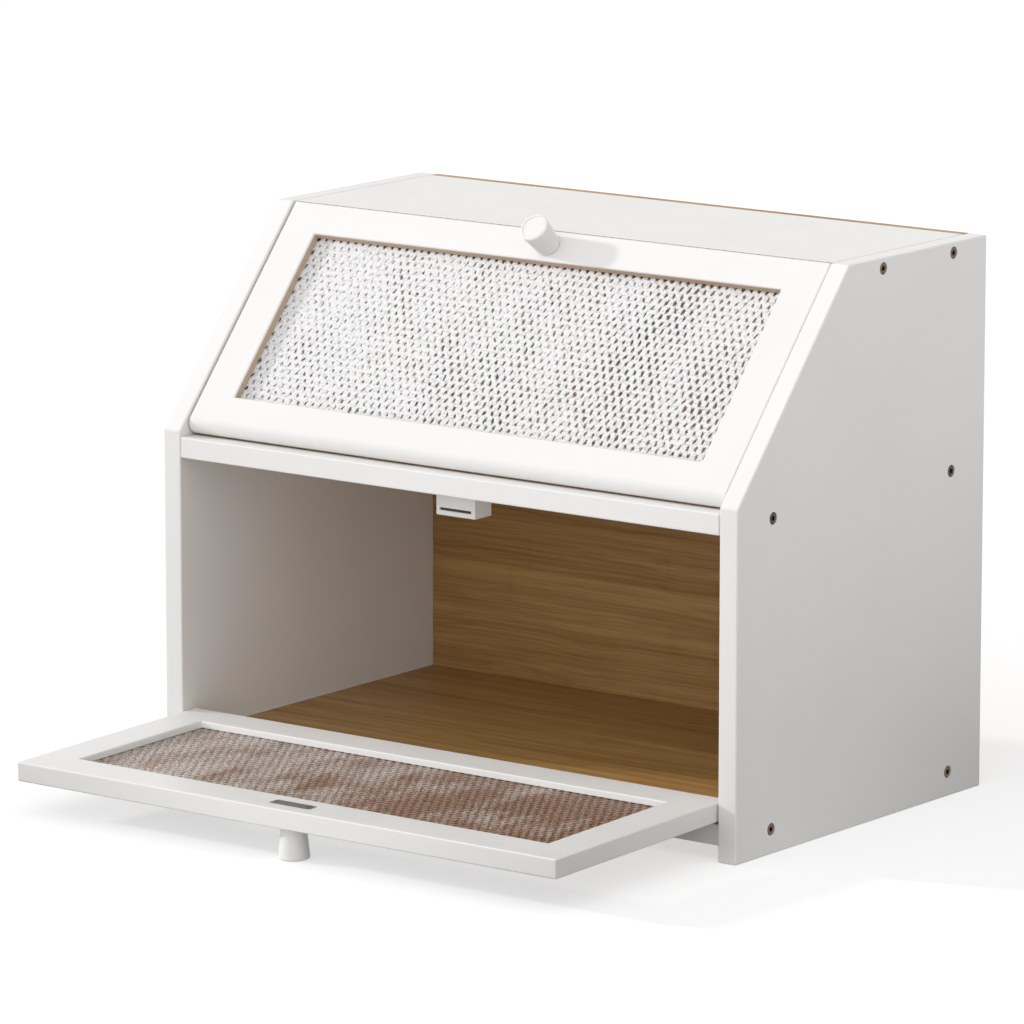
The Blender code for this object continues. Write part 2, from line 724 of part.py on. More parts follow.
def main():
    clear_scene()
    materials = {
        "paint": make_material("white_paint", (0.84, 0.83, 0.81), 0.35),
        "bamboo": make_material("bamboo", (0.45, 0.32, 0.19), 0.5),
        "acrylic": make_material("clear_acrylic", (0.95, 0.95, 0.93), 0.08, transmission=1.0),
        "plastic": make_material("white_plastic", (0.80, 0.79, 0.77), 0.4),
        "magnet": make_material("ferrite_magnet", (0.04, 0.04, 0.04), 0.6),
        "steel": make_material("steel", (0.55, 0.53, 0.50), 0.35, metallic=1.0),
        "bronze": make_material("bronzed_steel", (0.42, 0.33, 0.27), 0.35, metallic=1.0),
    }
    cabinet = make_empty("cabinet_front", location=(0, front_plane_y, 0))
    lower_closed = make_empty("lower_door_closed", cabinet, (0, lower_pivot_y, lower_pivot_z))
    lower_pivot = make_empty("lower_door_pivot", cabinet, (0, lower_pivot_y, lower_pivot_z),
                             (lower_open_angle, 0, 0))
    upper_pivot = make_empty("upper_door_pivot", cabinet, (0, upper_pivot_y, upper_pivot_z),
                             (upper_closed_angle, 0, 0))

    catch_top = shelf_underside - fit_gap
    catch_front = lower_pivot_y + inner_face + catch_door_gap
    slot_z = catch_top - catch_height + lower_slot_rise - lower_pivot_z
    shelf_catch_y = make_catch("lower", (catch_front, catch_top),
                               (catch_front, catch_top - catch_height), slot_z,
                               lower_closed, cabinet, materials)

    face_depth = upper_face_setback + door_thickness + catch_door_gap
    catch_top = top_underside - fit_gap
    face_ends = []
    for z in (catch_top, catch_top - catch_height):
        y = (face_depth + (z - front_height) * cos(slope_angle)) / sin(slope_angle)
        face_ends.append((y, z))
    top_catch_y = make_catch("upper", face_ends[0], face_ends[1], upper_knob_height,
                             upper_pivot, cabinet, materials)

    make_side_panels(cabinet, materials["paint"])
    places = side_screw_places()
    make_board("bottom_panel", flat_board_outline(bottom_setback, foot_height), places[0:2],
               cabinet, materials["bamboo"])
    make_board("middle_shelf", flat_board_outline(0, shelf_underside), places[2:4],
               cabinet, materials["paint"], shelf_catch_y)
    make_board("top_panel", top_panel_outline(), places[4:6],
               cabinet, materials["paint"], top_catch_y)
    make_back_panel(cabinet, materials["bamboo"])
    make_screws(cabinet, materials["bronze"])

    make_door("lower_door", lower_door_top, lower_rail_width, lower_rail_width,
              lower_pivot, materials)
    make_door("upper_door", upper_door_top, upper_bottom_rail_width, upper_top_rail_width,
              upper_pivot, materials)


main()
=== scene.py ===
import bmesh
import bpy
from math import cos, pi, radians, sin
from mathutils import Matrix, Vector


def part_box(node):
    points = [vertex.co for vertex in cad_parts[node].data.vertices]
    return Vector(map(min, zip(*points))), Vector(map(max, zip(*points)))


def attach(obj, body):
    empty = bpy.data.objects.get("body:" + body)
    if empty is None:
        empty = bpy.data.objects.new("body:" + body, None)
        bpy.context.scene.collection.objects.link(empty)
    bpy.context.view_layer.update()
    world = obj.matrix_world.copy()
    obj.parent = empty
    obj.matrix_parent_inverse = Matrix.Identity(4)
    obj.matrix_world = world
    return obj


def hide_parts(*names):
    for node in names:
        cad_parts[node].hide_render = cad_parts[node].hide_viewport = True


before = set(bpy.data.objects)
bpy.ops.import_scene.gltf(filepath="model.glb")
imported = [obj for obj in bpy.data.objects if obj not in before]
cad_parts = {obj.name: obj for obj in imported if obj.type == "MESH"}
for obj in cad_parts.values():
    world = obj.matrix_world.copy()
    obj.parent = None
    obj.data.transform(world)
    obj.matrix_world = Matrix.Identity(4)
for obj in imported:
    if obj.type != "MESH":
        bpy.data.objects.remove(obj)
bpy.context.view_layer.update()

# Bread box with two flip-down doors. Metres; X to the right seen from the front, Y to the back, Z up.
# Door pieces are modelled upright about their hinge line and then turned into place.

faceSteps = 3  # segments in a rounded board edge
hair = 0.0001  # a distance that counts as none
past = 0.002  # how far a cutter reaches out of the face that it opens


def freshStart():
    if bpy.context.object and bpy.context.object.mode != "OBJECT":
        bpy.ops.object.mode_set(mode="OBJECT")
    bpy.ops.object.select_all(action="DESELECT")


def makeActive(piece):
    freshStart()
    piece.select_set(True)
    bpy.context.view_layer.objects.active = piece


def nameIt(name):
    piece = bpy.context.object
    piece.name = name
    piece.data.name = name
    return piece


def settle(piece):
    # Puts the piece's place, turn and size into its mesh
    makeActive(piece)
    bpy.ops.object.transform_apply(location=True, rotation=True, scale=True)


def addBox(name, low, high):
    freshStart()
    low, high = Vector(low), Vector(high)
    bpy.ops.mesh.primitive_cube_add(size=1, location=(low + high) / 2, scale=high - low)
    box = nameIt(name)
    settle(box)
    return box


def addRod(name, radius, bottom, top, sides=32, turn=None):
    # A cylinder along Z from bottom to top, then turned by a matrix where one is given
    freshStart()
    bpy.ops.mesh.primitive_cylinder_add(vertices=sides, radius=radius, depth=top - bottom,
                                        location=(0, 0, (bottom + top) / 2))
    rod = nameIt(name)
    settle(rod)
    if turn is not None:
        rod.matrix_world = turn
        settle(rod)
    return rod


def openMesh(piece, kind):
    makeActive(piece)
    bpy.ops.object.mode_set(mode="EDIT")
    bpy.ops.mesh.select_mode(type=kind)
    bpy.ops.mesh.select_all(action="DESELECT")
    return bmesh.from_edit_mesh(piece.data)


def pickFaces(piece, test):
    mesh = openMesh(piece, "FACE")
    for face in mesh.faces:
        if test(face.calc_center_median(), face.normal):
            face.select_set(True)
    bmesh.update_edit_mesh(piece.data)


def pickEdges(piece, test):
    mesh = openMesh(piece, "EDGE")
    for edge in mesh.edges:
        first, second = edge.verts
        if test((first.co + second.co) / 2, (second.co - first.co).normalized()):
            edge.select_set(True)
    bmesh.update_edit_mesh(piece.data)


def bevelWhere(piece, test, width, segments):
    pickEdges(piece, test)
    bpy.ops.mesh.bevel(offset=width, segments=segments)
    freshStart()


def moveVerts(piece, test, move):
    mesh = openMesh(piece, "VERT")
    for vert in mesh.verts:
        if test(vert.co):
            vert.select_set(True)
    bmesh.update_edit_mesh(piece.data)
    bpy.ops.transform.translate(value=move)
    freshStart()


def bisectAt(piece, point, normal, remove=False):
    # Bisects the whole piece, and drops what lies beyond the plane if asked
    openMesh(piece, "FACE")
    bpy.ops.mesh.select_all(action="SELECT")
    bpy.ops.mesh.bisect(plane_co=point, plane_no=normal, use_fill=remove, clear_outer=remove)
    freshStart()


def joinAll(pieces, name):
    makeActive(pieces[0])
    for piece in pieces[1:]:
        piece.select_set(True)
    if len(pieces) > 1:
        bpy.ops.object.join()
    return nameIt(name)


def discard(piece):
    bpy.data.objects.remove(piece, do_unlink=True)


def cutAway(piece, cutters):
    # Cuts other pieces out of this one and removes them
    cutter = joinAll(cutters, "cutter")
    makeActive(piece)
    cut = piece.modifiers.new("cut", "BOOLEAN")
    cut.operation = "DIFFERENCE"
    cut.solver = "EXACT"
    cut.use_self = True
    cut.object = cutter
    bpy.ops.object.modifier_apply(modifier=cut.name)
    discard(cutter)


def roundEdges(piece, width, segments=faceSteps, angle=30):
    makeActive(piece)
    rounding = piece.modifiers.new("round", "BEVEL")
    rounding.width = width
    rounding.segments = segments
    rounding.limit_method = "ANGLE"
    rounding.angle_limit = radians(angle)
    bpy.ops.object.modifier_apply(modifier=rounding.name)


def smooth(piece, angle=40, weighted=True):
    makeActive(piece)
    bpy.ops.object.shade_smooth_by_angle(angle=radians(angle))
    if weighted:
        flatten = piece.modifiers.new("flats", "WEIGHTED_NORMAL")
        flatten.keep_sharp = True
        bpy.ops.object.modifier_apply(modifier=flatten.name)


def copyOf(piece, name):
    twin = piece.copy()
    twin.data = piece.data.copy()
    twin.name = name
    twin.data.name = name
    bpy.context.scene.collection.objects.link(twin)
    return twin


def putAt(piece, matrix):
    piece.matrix_world = matrix
    settle(piece)


def hand(piece, body, nodes, materials):
    # Gives a finished piece its materials and its body, and hides the nodes it stands for
    if not piece.data.materials:
        for material in materials:
            piece.data.materials.append(material)
    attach(piece, body)
    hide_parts(*nodes)


class Wires:
    # Short ways to add and join the nodes of one tree
    def __init__(self, tree):
        self.tree = tree

    def node(self, kind, **settings):
        made = self.tree.nodes.new(kind)
        for key, value in settings.items():
            setattr(made, key, value)
        return made

    def feed(self, socket, value):
        if isinstance(value, bpy.types.NodeSocket):
            self.tree.links.new(value, socket)
        else:
            socket.default_value = value

    def feedAll(self, made, values, first=0):
        for index, value in enumerate(values, start=first):
            self.feed(made.inputs[index], value)

    def math(self, operation, first, second=0.0, clamp=False):
        made = self.node("ShaderNodeMath", operation=operation, use_clamp=clamp)
        self.feedAll(made, (first, second))
        return made.outputs[0]

    def plus(self, first, second, clamp=False):
        return self.math("ADD", first, second, clamp)

    def minus(self, first, second):
        return self.math("SUBTRACT", first, second)

    def times(self, first, second):
        return self.math("MULTIPLY", first, second)

    def spread(self, value, fromLow, fromHigh, toLow, toHigh, soft=False):
        made = self.node("ShaderNodeMapRange")
        if soft:
            made.interpolation_type = "SMOOTHSTEP"
        self.feedAll(made, (value, fromLow, fromHigh, toLow, toHigh))
        return made.outputs[0]

    def blend(self, factor, first, second, mode="MIX"):
        made = self.node("ShaderNodeMix", data_type="RGBA", blend_type=mode)
        self.feed(made.inputs[0], factor)
        self.feedAll(made, (first, second), 6)
        return made.outputs[2]

    def mixed(self, factor, first, second):
        # Mixes two shaders
        made = self.node("ShaderNodeMixShader")
        self.feedAll(made, (factor, first, second))
        return made.outputs[0]

    def vector(self, operation, *values):
        made = self.node("ShaderNodeVectorMath", operation=operation)
        self.feedAll(made, values)
        return made.outputs["Value" if operation in ("DOT_PRODUCT", "DISTANCE") else "Vector"]

    def axes(self, vector):
        made = self.node("ShaderNodeSeparateXYZ")
        self.feed(made.inputs[0], vector)
        return tuple(made.outputs)

    def noise(self, vector, scale, detail=3.0, roughness=0.5, output="Fac"):
        made = self.node("ShaderNodeTexNoise")
        self.feed(made.inputs["Vector"], vector)
        made.inputs["Scale"].default_value = scale
        made.inputs["Detail"].default_value = detail
        made.inputs["Roughness"].default_value = roughness
        return made.outputs[output]

    def stretched(self, vector, scales, detail=3.0, roughness=0.5, scale=1.0):
        # Noise with a scale of its own along each axis
        return self.noise(self.vector("MULTIPLY", vector, scales), scale, detail, roughness)

    def bump(self, height, distance):
        made = self.node("ShaderNodeBump")
        self.feed(made.inputs["Height"], height)
        self.feed(made.inputs["Distance"], distance)
        return made.outputs[0]


plain = (0.5, 0.5, 0.5, 1)  # stands in a group until a material gives its own colour


def newGroup(name, inputs, outputs=("Colour", "Roughness", "Normal")):
    # An input's kind follows from its default, and an output's from its name
    group = bpy.data.node_groups.new(name, "ShaderNodeTree")
    for label, value in inputs.items():
        kind = {1: "Float", 3: "Vector", 4: "Color"}[len(value) if isinstance(value, tuple) else 1]
        socket = group.interface.new_socket(name=label, in_out="INPUT",
                                            socket_type="NodeSocket" + kind)
        socket.default_value = value
    for label in outputs:
        kind = {"Roughness": "Float", "Normal": "Vector"}.get(label, "Color")
        group.interface.new_socket(name=label, in_out="OUTPUT", socket_type="NodeSocket" + kind)
    given = group.nodes.new("NodeGroupInput").outputs
    result = group.nodes.new("NodeGroupOutput").inputs
    return group, Wires(group), given, result


paintTexture = {
    "cloudScale": 9.0, "speckScale": 900.0, "speckLevels": (0.74, 0.8), "speckShow": 0.12,
    "speckColour": (0.55, 0.52, 0.48, 1), "patchScale": 28.0, "patchRough": (-0.05, 0.07),
    "peelScale": 520.0, "fibreScales": (14, 160, 160), "fibreShare": 0.6,
}


def makePaintFilm():
    # Sprayed satin paint: faint clouding, orange peel and a little dust under the film
    group, wires, given, result = newGroup("paintFilm", {
        "Vector": (0, 0, 0), "Colour": plain, "Clouding": 0.03, "Roughness": 0.35,
        "Peel Depth": 0.00002})
    look, place = paintTexture, given["Vector"]
    cloud = wires.spread(wires.noise(place, look["cloudScale"], 3.0, 0.55), 0.35, 0.7, 0, 1)
    shade = wires.minus(1.0, wires.times(cloud, given["Clouding"]))
    speck = wires.noise(place, look["speckScale"], 1.0)
    speckMask = wires.spread(speck, *look["speckLevels"], 0.0, look["speckShow"], soft=True)
    toned = wires.blend(1.0, given["Colour"], shade, "MULTIPLY")
    wires.feed(result["Colour"], wires.blend(speckMask, toned, look["speckColour"]))
    patch = wires.noise(place, look["patchScale"], 4.0, 0.6)
    wires.feed(result["Roughness"], wires.plus(given["Roughness"],
                                               wires.spread(patch, 0.3, 0.7, *look["patchRough"])))
    peel = wires.noise(place, look["peelScale"], 2.0)
    fibre = wires.stretched(place, look["fibreScales"], 2.0)
    height = wires.plus(peel, wires.times(fibre, look["fibreShare"]))
    wires.feed(result["Normal"], wires.bump(height, given["Peel Depth"]))
    return group


bambooTexture = {
    "swayScales": (9, 22, 22), "sway": 0.006, "jointWidth": 0.02, "jointShow": 0.22,
    "fineScales": (11, 1500, 1500), "fibreScales": (7, 520, 520), "broadScales": (4, 90, 90),
    "fineShare": 0.4, "fibreShare": 0.6, "lineLevels": (0.36, 0.66), "lineMost": 0.85,
    "lineShow": 0.7, "broadShow": 0.35, "stripShow": 0.12, "knucklesPerMetre": 6.0,
    "stripShift": 17.3, "knuckleLevel": 0.66, "knuckleWidth": 0.02, "knuckleShow": 0.35,
    "roughness": (0.4, 0.6),
}


def makeBambooGrain():
    # Bamboo veneer with its fibres along X: fine dark lines, broad bands and a few knuckles
    group, wires, given, result = newGroup("bambooGrain", {
        "Vector": (0, 0, 0), "Light": plain, "Dark": plain, "Strip Width": 0.021,
        "Grain Depth": 0.00005})
    look, place = bambooTexture, given["Vector"]
    sway = wires.times(wires.stretched(place, look["swayScales"], 2.0), look["sway"])
    lift = wires.node("ShaderNodeCombineXYZ")
    wires.feedAll(lift, (sway, sway), 1)
    swayed = wires.vector("ADD", place, lift.outputs[0])
    x, y, z = wires.axes(place)
    across = wires.math("DIVIDE", wires.plus(y, z), given["Strip Width"])
    strip = wires.math("FLOOR", across)
    within = wires.math("FRACT", across)
    stripTone = wires.node("ShaderNodeTexWhiteNoise", noise_dimensions="1D")
    wires.feed(stripTone.inputs["W"], strip)
    joint = wires.math("MINIMUM", within, wires.minus(1.0, within))
    jointMask = wires.spread(joint, 0.0, look["jointWidth"], look["jointShow"], 0.0, soft=True)
    fine = wires.stretched(swayed, look["fineScales"], 4.0, 0.7)
    fibre = wires.stretched(swayed, look["fibreScales"], 3.0, 0.65)
    broad = wires.stretched(swayed, look["broadScales"], 2.0)
    lines = wires.plus(wires.times(fine, look["fineShare"]), wires.times(fibre, look["fibreShare"]))
    lineTone = wires.spread(lines, *look["lineLevels"], 0.0, look["lineMost"])
    tone = wires.plus(wires.times(lineTone, look["lineShow"]),
                      wires.spread(broad, 0.3, 0.7, 0.0, look["broadShow"]))
    tone = wires.plus(tone, wires.times(stripTone.outputs[0], look["stripShow"]), clamp=True)
    base = wires.blend(tone, given["Light"], given["Dark"])
    knuckleAt = wires.node("ShaderNodeTexNoise", noise_dimensions="1D")
    wires.feed(knuckleAt.inputs["W"], wires.plus(wires.times(x, look["knucklesPerMetre"]),
                                                 wires.times(strip, look["stripShift"])))
    knuckleAt.inputs["Scale"].default_value = 1.0
    knuckleAt.inputs["Detail"].default_value = 0.0
    offLine = wires.math("ABSOLUTE", wires.minus(knuckleAt.outputs["Fac"], look["knuckleLevel"]))
    knuckle = wires.spread(offLine, 0.0, look["knuckleWidth"], look["knuckleShow"], 0.0, soft=True)
    marked = wires.blend(wires.times(knuckle, lineTone), base, given["Dark"])
    wires.feed(result["Colour"], wires.blend(jointMask, marked, given["Dark"]))
    wires.feed(result["Roughness"], wires.spread(fibre, 0.25, 0.75, *look["roughness"]))
    wires.feed(result["Normal"], wires.bump(wires.minus(lines, jointMask), given["Grain Depth"]))
    return group


metalTexture = {"patchScale": 700.0, "patchLevels": (0.42, 0.66), "tarnishRough": 0.2,
                "scratchScales": (900, 5200, 900), "scratchRough": (-0.06, 0.1)}


def makeMetalWear():
    # Plated metal: fine scratches, tarnish in patches
    group, wires, given, result = newGroup("metalWear", {
        "Vector": (0, 0, 0), "Colour": plain, "Tarnish": plain, "Tarnish Amount": 0.4,
        "Roughness": 0.3, "Scratch Depth": 0.00001})
    look, place = metalTexture, given["Vector"]
    patch = wires.noise(place, look["patchScale"], 4.0, 0.6)
    mask = wires.times(wires.spread(patch, *look["patchLevels"], 0, 1, soft=True),
                       given["Tarnish Amount"])
    scratch = wires.stretched(place, look["scratchScales"], 3.0, 0.6)
    wires.feed(result["Colour"], wires.blend(mask, given["Colour"], given["Tarnish"]))
    rough = wires.plus(given["Roughness"], wires.spread(scratch, 0.3, 0.7, *look["scratchRough"]))
    wires.feed(result["Roughness"], wires.plus(rough, wires.times(mask, look["tarnishRough"])))
    wires.feed(result["Normal"], wires.bump(scratch, given["Scratch Depth"]))
    return group


cellTexture = {
    "drift": 0.75, "slow": (0.19, 0.23), "slant": 0.2, "slowShade": 0.08, "rimShade": 0.35,
    "chipScale": 2.8, "chipReach": 0.46, "chipHeight": 1.2, "regionScale": 0.07,
    "regionReach": (-0.14, 0.12), "leanFrom": 0.45, "lean": 0.35, "markFrom": 1.2,
    "markSoft": 0.55, "warmScale": 0.11, "warmLean": 0.7, "streakScales": (1.0, 1.9, 1),
    "streakScale": 1.3, "streakLevels": (0.5, 0.64), "streakRough": 0.14, "greyShow": 0.9,
    "speckShow": 0.8, "hazeScale": 0.09, "hazeLevels": (0.4, 0.66), "glintCrown": 0.6,
    "glintChip": 1.8, "glintLevels": (0.45, 1.0), "glintInHaze": (0.4, 1.0),
}


def makeCellPattern():
    # Staggered cells counted along U and V. Dark spots of painted shade lie in the valleys between
    # the crowns, where the dark inside would show through, and change their shape and size every few
    # cells, as the two pressed faces drift apart. The pale ground around them is painted glare, the
    # glints are painted highlights, and the shallow colour is a painted reflection of the brown
    # inside
    group, wires, given, result = newGroup("cellPattern", {
        "Cells": (0, 0, 0), "Across": 0.5, "Edge Shade": 0.0, "Mark Size": 0.5,
        "Painted Glare": plain, "Grey": plain, "Painted Shade Spot": plain, "Warm Mark": plain, "Painted Reflection Dark": plain,
        "Painted Reflection Pale": plain, "Glint": plain, "Smooth": 0.12, "Relief": 0.0002,
    }, ("Colour", "Shallow Painted Reflection", "Roughness", "Normal"))
    look, cells = cellTexture, given["Cells"]
    wobble = wires.noise(cells, 1.0, 2.0, output="Color")
    drifted = wires.vector("MULTIPLY_ADD", wobble, (look["drift"], look["drift"], 0), cells)
    u, v = [wires.times(wires.minus(along, look["drift"] / 2), pi)
            for along in wires.axes(drifted)[:2]]
    crown = wires.times(wires.math("COSINE", u), wires.math("COSINE", v))
    skew = wires.times(wires.math("SINE", u), wires.math("SINE", v))
    slow = wires.times(wires.math("COSINE", wires.times(u, look["slow"][0])),
                       wires.math("COSINE", wires.times(v, look["slow"][1])))
    slant = wires.minus(wires.times(slow, look["slant"]), look["slant"] / 2)
    chip = wires.noise(cells, look["chipScale"], 3.0, 0.75)
    region = wires.noise(cells, look["regionScale"], 2.0)
    leaning = wires.times(wires.minus(look["leanFrom"], given["Across"]), look["lean"])
    valley = wires.minus(wires.times(skew, slant), crown)
    for more in (wires.times(slow, look["slowShade"]),
                 wires.spread(chip, 0.3, 0.7, -look["chipReach"], look["chipReach"]),
                 wires.spread(region, 0.35, 0.65, *look["regionReach"]),
                 wires.times(given["Edge Shade"], look["rimShade"])):
        valley = wires.plus(valley, more)
    valley = wires.minus(valley, leaning)
    # Dark spots of painted shade in the valleys, smaller and less warm towards the left
    size = wires.minus(look["markFrom"], given["Mark Size"])
    shadeSpots = wires.spread(valley, size, wires.plus(size, look["markSoft"]), 0.0, 1.0)
    warm = wires.minus(wires.noise(cells, look["warmScale"], 2.0),
                       wires.times(leaning, look["warmLean"]))
    tint = wires.blend(wires.spread(warm, 0.4, 0.6, 0.0, 1.0), given["Painted Shade Spot"], given["Warm Mark"])
    streaks = wires.stretched(cells, look["streakScales"], 2.0, 0.6, look["streakScale"])
    greys = wires.spread(streaks, *look["streakLevels"], 0.0, look["greyShow"])
    # The pale ground is painted glare, greyer along streaks
    greyed = wires.blend(greys, given["Painted Glare"], given["Grey"])
    wires.feed(result["Colour"], wires.blend(shadeSpots, greyed, tint))
    # The shallow look: a painted reflection of the brown inside, paler in patches and towards the
    # left, with painted highlights on the crowns
    patches = wires.plus(wires.noise(cells, look["hazeScale"], 3.0, 0.6), leaning)
    haze = wires.spread(patches, *look["hazeLevels"], 0.0, 1.0)
    glints = wires.plus(wires.times(crown, look["glintCrown"]),
                        wires.spread(chip, 0.3, 0.7, look["glintChip"], -look["glintChip"]))
    glints = wires.times(wires.spread(glints, *look["glintLevels"], 0.0, 1.0),
                         wires.spread(haze, 0.0, 0.8, *look["glintInHaze"]))
    deep = wires.blend(haze, given["Painted Reflection Dark"], given["Painted Reflection Pale"])
    specks = wires.math("MAXIMUM", wires.times(shadeSpots, look["speckShow"]),
                        wires.spread(streaks, *look["streakLevels"], 0.0, look["speckShow"]))
    shaded = wires.blend(specks, deep, given["Painted Shade Spot"])
    wires.feed(result["Shallow Painted Reflection"], wires.blend(glints, shaded, given["Glint"]))
    wires.feed(result["Roughness"], wires.plus(
        given["Smooth"], wires.spread(streaks, 0.3, 0.7, 0.0, look["streakRough"])))
    height = wires.plus(crown, wires.times(chip, look["chipHeight"]))
    wires.feed(result["Normal"], wires.bump(height, given["Relief"]))
    return group


paintFilm = makePaintFilm()
bambooGrain = makeBambooGrain()
metalWear = makeMetalWear()
cellPattern = makeCellPattern()
print("shader groups made")


def newMaterial(name):
    material = bpy.data.materials.new(name)
    material.use_nodes = True
    wires = Wires(material.node_tree)
    shader = material.node_tree.nodes["Principled BSDF"]
    return material, wires, shader


def useGroup(wires, group, settings):
    made = wires.node("ShaderNodeGroup", node_tree=group)
    for label, value in settings.items():
        wires.feed(made.inputs[label], value)
    return made.outputs


def objectPlace(wires):
    return wires.node("ShaderNodeTexCoord").outputs["Object"]


def dress(wires, shader, pattern, colour, values):
    # Joins a shader to its pattern and sets its plain values, a plain roughness among them
    wires.feed(shader.inputs["Base Color"], pattern[colour])
    wires.feed(shader.inputs["Normal"], pattern["Normal"])
    if "Roughness" not in values:
        wires.feed(shader.inputs["Roughness"], pattern["Roughness"])
    for label, value in values.items():
        shader.inputs[label].default_value = value


def groupedMaterial(name, group, settings, shaderValues):
    # A material whose colour, roughness and normal come from one group on Object coordinates
    material, wires, shader = newMaterial(name)
    pattern = useGroup(wires, group, {"Vector": objectPlace(wires), **settings})
    dress(wires, shader, pattern, "Colour", shaderValues)
    return material


paintLook = {
    "boardPaint": ((0.86, 0.853, 0.843, 1), 0.03, 0.36, 0.000022),
    "doorPaint": ((0.84, 0.835, 0.825, 1), 0.02, 0.33, 0.000018),
    # painted warm shade for the window's outer reveals and for the gap along the doors' hinge edge
    "paintedShadeBrown": ((0.62, 0.47, 0.35, 1), 0.12, 0.5, 0.00004),
    "catchPlastic": ((0.80, 0.79, 0.77, 1), 0.02, 0.42, 0.00001),
    "ferrite": ((0.035, 0.033, 0.032, 1), 0.3, 0.55, 0.00004),
    # painted black shade for the hollow of the screw sockets
    "socketPaintedShade": ((0.02, 0.018, 0.016, 1), 0.3, 0.6, 0.00002),
}
metalLook = {
    "bronze": ((0.18, 0.13, 0.09, 1), (0.05, 0.038, 0.03, 1), 0.3),
    "blackened": ((0.07, 0.068, 0.066, 1), (0.2, 0.19, 0.18, 1), 0.3),
    "steel": ((0.58, 0.57, 0.55, 1), (0.3, 0.27, 0.24, 1), 0.28),
}
bambooLook = {"Light": (0.58, 0.355, 0.135, 1), "Dark": (0.24, 0.112, 0.026, 1),
              "Strip Width": 0.021, "Grain Depth": 0.00005}


def makeMaterials(looks, labels, group, shaderValues):
    return [groupedMaterial(name, group, dict(zip(labels, values)), shaderValues)
            for name, values in looks.items()]


boardPaint, doorPaint, paintedShadeBrown, catchPlastic, ferrite, socketPaintedShade = makeMaterials(
    paintLook, ("Colour", "Clouding", "Roughness", "Peel Depth"), paintFilm,
    {"Specular IOR Level": 0.45})
bronze, blackened, steel = makeMaterials(
    metalLook, ("Colour", "Tarnish", "Roughness"), metalWear, {"Metallic": 1.0})
bamboo = groupedMaterial("bamboo", bambooGrain, bambooLook, {"Specular IOR Level": 0.4})

# The window's colours are painted light: glare, shade spots, glints and a reflection of the inside
acrylicLook = {
    "pattern": {"Painted Glare": (0.985, 0.985, 0.99, 1), "Grey": (0.64, 0.65, 0.68, 1),
                "Painted Shade Spot": (0.05, 0.034, 0.022, 1), "Warm Mark": (0.15, 0.075, 0.026, 1),
                "Painted Reflection Dark": (0.30, 0.15, 0.083, 1), "Painted Reflection Pale": (0.58, 0.48, 0.42, 1),
                "Glint": (0.98, 0.96, 0.94, 1), "Mark Size": 0.84, "Smooth": 0.10,
                "Relief": 0.00016},
    "steep": {"Transmission Weight": 0.22, "IOR": 1.49},
    "shallow": {"Transmission Weight": 0.15, "IOR": 1.18, "Roughness": 0.3},
    "shallowLevels": (0.45, 0.72), "edgeReach": 0.0022,
    "shadowTint": (0.8, 0.79, 0.77, 1), "shadowClear": 0.75,
}


def edgeShade(wires, mapped, width, height, margin, reach):
    # 1 at the rim of the opening, 0 a little way in, from the window's own map in metres
    nearest = None
    for output, size in zip(wires.axes(mapped), (width, height)):
        along = wires.times(output, size)
        side = wires.math("MINIMUM", along, wires.minus(size, along))
        nearest = side if nearest is None else wires.math("MINIMUM", nearest, side)
    return wires.spread(nearest, margin, margin + reach, 1.0, 0.0)


def acrylicMaterial(name, look, columns, rows, width, height, margin, seed):
    # Patterned clear sheet, with one look seen steeply and another at a shallow angle, both painted
    # light:
    # glare and shade spots seen steeply, a brown reflection of the inside with glints at a shallow
    # angle
    material, wires, shader = newMaterial(name)
    mapped = wires.node("ShaderNodeUVMap", uv_map="cells").outputs[0]
    pattern = useGroup(wires, cellPattern, {
        "Cells": wires.vector("MULTIPLY_ADD", mapped, (columns, rows, 1), (0, 0, seed)),
        "Across": wires.axes(mapped)[0], **look["pattern"],
        "Edge Shade": edgeShade(wires, mapped, width, height, margin, look["edgeReach"])})
    dress(wires, shader, pattern, "Colour", look["steep"])
    shallow = wires.node("ShaderNodeBsdfPrincipled")
    dress(wires, shallow, pattern, "Shallow Painted Reflection", look["shallow"])
    facing = wires.node("ShaderNodeLayerWeight")
    turned = wires.spread(facing.outputs["Facing"], *look["shallowLevels"], 0.0, 1.0)
    seen = wires.mixed(turned, shader.outputs[0], shallow.outputs[0])
    clear = wires.node("ShaderNodeBsdfTransparent")
    clear.inputs[0].default_value = look["shadowTint"]
    rays = wires.node("ShaderNodeLightPath")
    shadows = wires.times(rays.outputs["Is Shadow Ray"], look["shadowClear"])
    output = material.node_tree.nodes["Material Output"]
    wires.feed(output.inputs["Surface"], wires.mixed(shadows, seen, clear.outputs[0]))
    return material


print("materials made")


slopeLook = {"angle": radians(49.2411), "foot": 0.1955, "front": -0.046764}
slopeOut = Vector((0, -sin(slopeLook["angle"]), cos(slopeLook["angle"])))
doorFrames = {
    "lower": {"pivot": Vector((0, -0.040364, 0.0282)), "turn": radians(91.21135),
              "top": 0.1508, "low": 0.0194, "high": 0.1254, "knob": 0.1381},
    "upper": {"pivot": Vector((0, -0.034161, 0.1994)), "turn": radians(-40.75886),
              "top": 0.147443, "low": 0.0158, "high": 0.127343, "knob": 0.137393},
}
cabinetLook = {
    "edgeRound": 0.0009, "backRound": 0.0004, "pinBore": 0.0028, "pinBoreDepth": 0.0068,
    "headBore": 0.0035, "headBoreDepth": 0.0033, "shankBore": 0.0023, "shankBoreDepth": 0.016,
    "backBore": 0.0033, "backBoreDepth": 0.002,
    "sideScrewInset": 0.033, "topScrewInset": 0.103, "backScrewAcross": 0.12,
    "topCrestY": 0.059088, "topHeelY": 0.067602, "topHeelZ": 0.307662,
}
